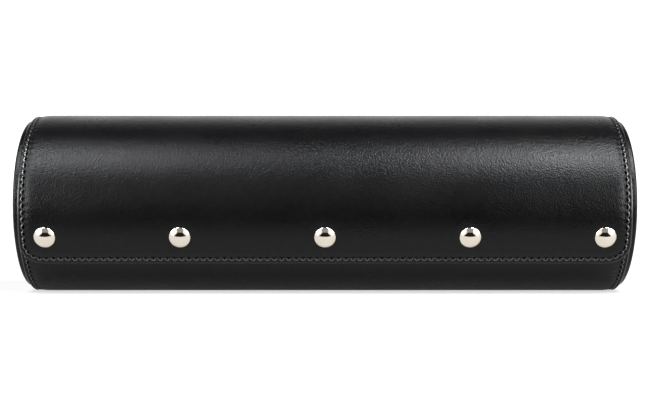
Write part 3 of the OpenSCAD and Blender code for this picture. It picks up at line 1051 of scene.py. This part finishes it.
def build_piping(name, loop):
    """Cord along a closed line of points."""
    n, sides = len(loop), PIPING_SIDES
    centre = sum(loop, Vector()) / n
    verts, faces = [], []
    for j, point in enumerate(loop):
        out = (point - centre).normalized()
        middle = point + PIPING_OUT * out
        for k in range(sides):
            angle = 2 * math.pi * k / sides
            ray = math.cos(angle) * out + math.sin(angle) * Vector((1, 0, 0))
            verts.append(tuple(middle + PIPING_R * ray))
        for k in range(sides):
            a, b = j * sides + k, j * sides + (k + 1) % sides
            c, d = (j + 1) % n * sides + k, (j + 1) % n * sides + (k + 1) % sides
            faces.append((a, b, d, c))
    return make_piece(name, verts, faces, [CUSHION_SUEDE], sharp=180)


def finish_cushion(number, x, shape):
    """One cushion from the blown-up cover: gathers at its seams, soft dents and a sewn cord."""
    points, faces, first_seam, last_seam, count = shape
    n = CUSHION_STEPS
    mirror = -1 if number % 2 else 1
    verts = []
    for index, (px, py, pz) in enumerate(points):
        ring = index // n
        turn = 2 * math.pi * (index % n) / n
        if ring < count:
            near = min(abs(ring - first_seam), abs(ring - last_seam))
            inside = first_seam < ring < last_seam
            gather = math.sin(turn * GATHER_WAVES[0] + number)
            gather += 0.6 * math.sin(turn * GATHER_WAVES[1] + 2.1 * number)
            fold = GATHER * gather * bell(near, GATHER_W) * (1 if near else GATHER_ON_SEAM)
            dent = math.sin(2 * turn + number) * math.sin(px / DENT_LEN + 1.7 * number)
            seam = -SEAM_PULL * bell(near, SEAM_PULL_W)
            reach = math.hypot(py, pz) or 1.0
            grow = (reach + fold + (DENT * dent if inside else 0) + seam) / reach
            py, pz = py * grow, pz * grow
        verts.append((x + mirror * px, mirror * py, CUSHION_Z + pz))
    cushion = make_piece(f"cushion_{number}", verts, faces, [CUSHION_SUEDE], sharp=180)
    smooth = cushion.modifiers.new("smooth", "SUBSURF")
    smooth.levels = smooth.render_levels = 1
    settle(cushion, "body", "cushion_suede", f"cushion_cover_{number}", f"cushion_foam_{number}")
    for label, ring in (("left", first_seam), ("right", last_seam)):
        loop = [Vector(verts[ring * n + j]) for j in range(n)]
        piping = build_piping(f"cushion_piping_{number}_{label}", loop)
        settle(piping, "body", "cushion_suede")


cushion_shape = build_cushion_points()
for number, x in enumerate(CUSHION_XS, 1):
    finish_cushion(number, x, cushion_shape)


# Camera: distance before the axis and height over it, and focal length in the image's pixels

CAMERA_FAR = 728.0
CAMERA_UP = 1.9
FOCAL_PX = 1216.5
IMAGE_W = 650
SENSOR = 36.0


def build_camera():
    data = bpy.data.cameras.new("camera")
    data.sensor_width = SENSOR
    data.sensor_fit = "HORIZONTAL"
    data.lens = FOCAL_PX / IMAGE_W * SENSOR
    data.clip_start = 0.01
    data.clip_end = 20.0
    cam = bpy.data.objects.new("camera", data)
    cam.location = (0, -CAMERA_FAR * MM, (AXIS_Z + CAMERA_UP) * MM)
    cam.rotation_euler = (math.pi / 2, 0, 0)
    bpy.context.scene.collection.objects.link(cam)
    bpy.context.scene.camera = cam


# Lamps, in metres: two high softboxes give the broad highlight, two low screens the sides

LAMP_COLOUR = (0.965, 0.98, 1.0)
LAMP_TARGET = (0, 0, 0.05)


def area_light(name, place, size, power, roll=0.0):
    data = bpy.data.lights.new(name, "AREA")
    data.shape = "RECTANGLE"
    data.size, data.size_y = size
    data.energy = power
    data.color = LAMP_COLOUR
    lamp = bpy.data.objects.new(name, data)
    lamp.location = place
    aim = Vector(LAMP_TARGET) - Vector(place)
    turn = aim.to_track_quat("-Z", "Y") @ Quaternion((0, 0, 1), math.radians(roll))
    lamp.rotation_euler = turn.to_euler()
    bpy.context.scene.collection.objects.link(lamp)


# World, by direction: each pair is a range of one coordinate, or the levels at its two ends
BACK_WALL, BACK_WALL_LEVELS = (0.5, 1.0), (0.012, 1.5)
ROOM_AHEAD, ROOM_LEVELS = (-0.8, -0.45), (0.3, 0.0)
ROOM_ABOVE = (0.06, 0.14)
SCREEN_EDGE = (0.38, 0.43)
SCREEN_FORWARD = (-0.2, 0.0)
# The screens' inner edges slant in up to a height
SCREEN_LEAN, LEAN_TOP = 0.95, 0.05


def build_world():
    """White to the camera; a pale wall behind the roll and a dark room in front for all else."""
    world = bpy.data.worlds.new("studio")
    world.use_nodes = True
    tree = world.node_tree
    back = tree.nodes["Background"]
    path = add_node(tree, "ShaderNodeLightPath")
    split = add_node(tree, "ShaderNodeSeparateXYZ", {0: coordinates(tree, "Generated")})
    x, y, z = (split.outputs[axis] for axis in "XYZ")
    wall = ramp(tree, y, BACK_WALL, BACK_WALL_LEVELS)
    ahead = ramp(tree, y, ROOM_AHEAD, ROOM_LEVELS)
    room = calc(tree, "MULTIPLY", ahead, ramp(tree, z, ROOM_ABOVE))
    level = calc(tree, "MAXIMUM", wall, room)
    # white screens at both sides of the camera, for gloss alone
    low = calc(tree, "MINIMUM", z, LEAN_TOP)
    leaning = calc(tree, "MULTIPLY_ADD", low, SCREEN_LEAN, calc(tree, "ABSOLUTE", x))
    screens = ramp(tree, leaning, SCREEN_EDGE)
    forward = ramp(tree, y, SCREEN_FORWARD, (1.0, 0.0))
    for factor in (forward, path.outputs["Is Glossy Ray"]):
        screens = calc(tree, "MULTIPLY", screens, factor)
    level = calc(tree, "MAXIMUM", level, screens)
    level = calc(tree, "MAXIMUM", level, path.outputs["Is Camera Ray"])
    set_inputs(tree, back, {"Color": (1, 1, 1, 1), "Strength": level})
    bpy.context.scene.world = world


# Floor, in metres: half its side, and the front edge of the table with the blur of its line
FLOOR_HALF = 4.0
TABLE_EDGE = -0.125
EDGE_BLUR = 0.002
FLOOR_COLOUR = (0.46, 0.455, 0.44, 1)
# Away from the roll it fades to white for the camera, and reflections see it a little lighter
FADE, FADE_LEVELS = (0.25, 0.8), (0.58, 1.0)
MIRROR, MIRROR_LEVELS = (0.035, 0.075), (0.1, 0.13)


def build_floor():
    """Pale table that ends in front of the roll. The camera sees it go on as white."""
    half = FLOOR_HALF
    corners = [(-half, -half, 0), (half, -half, 0), (half, half, 0), (-half, half, 0)]
    mesh = bpy.data.meshes.new("floor")
    mesh.from_pydata(corners, [], [(0, 1, 2, 3)])
    floor = bpy.data.objects.new("floor", mesh)
    bpy.context.scene.collection.objects.link(floor)
    mat, tree, bsdf = new_material("pale_floor")
    where = coordinates(tree)
    y = add_node(tree, "ShaderNodeSeparateXYZ", {0: where}).outputs["Y"]
    path = add_node(tree, "ShaderNodeLightPath")
    camera_ray, glossy_ray = path.outputs["Is Camera Ray"], path.outputs["Is Glossy Ray"]
    away = add_node(tree, "ShaderNodeVectorMath", {0: where}, operation="LENGTH")
    far = ramp(tree, away.outputs["Value"], FADE, FADE_LEVELS)
    beside = ramp(tree, calc(tree, "ABSOLUTE", y), MIRROR, MIRROR_LEVELS)
    seen = calc(tree, "MULTIPLY", camera_ray, far)
    mirrored = calc(tree, "MULTIPLY", glossy_ray, beside)
    set_inputs(tree, bsdf, {
        "Base Color": FLOOR_COLOUR,
        "Roughness": 0.9,
        "Specular IOR Level": 0.1,
        "Emission Color": (1, 1, 1, 1),
        "Emission Strength": calc(tree, "ADD", seen, mirrored),
    })
    on_table = ramp(tree, y, (TABLE_EDGE - EDGE_BLUR, TABLE_EDGE + EDGE_BLUR))
    shown = calc(tree, "MAXIMUM", on_table, camera_ray)
    clear = add_node(tree, "ShaderNodeBsdfTransparent")
    mix = add_node(tree, "ShaderNodeMixShader", {
        0: shown, 1: clear.outputs[0], 2: bsdf.outputs[0]})
    tree.links.new(mix.outputs[0], tree.nodes["Material Output"].inputs["Surface"])
    mesh.materials.append(mat)


build_camera()
build_world()
build_floor()
area_light("left_softbox", (-0.48, -0.56, 1.05), (0.32, 0.60), power=8.5)
area_light("right_softbox", (0.49, -0.56, 1.05), (0.32, 0.60), power=13.5)
area_light("left_screen", (-0.86, -0.66, 0.28), (0.6, 0.6), power=8, roll=45)
area_light("right_screen", (0.86, -0.66, 0.28), (0.6, 0.6), power=8, roll=45)

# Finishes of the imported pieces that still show
NODE_FINISHES = {
    "body_board": BOARD, "end_board_left": BOARD, "end_board_right": BOARD, "flap_board": BOARD,
    "body_lining": SUEDE, "flap_lining": SUEDE,
    "snap_eyelets": SNAP_METAL,
    "snap_springs": SPRING_STEEL,
}
for node, finish in NODE_FINISHES.items():
    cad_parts[node].data.materials.clear()
    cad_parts[node].data.materials.append(finish)

bpy.context.scene.view_settings.view_transform = "Standard"
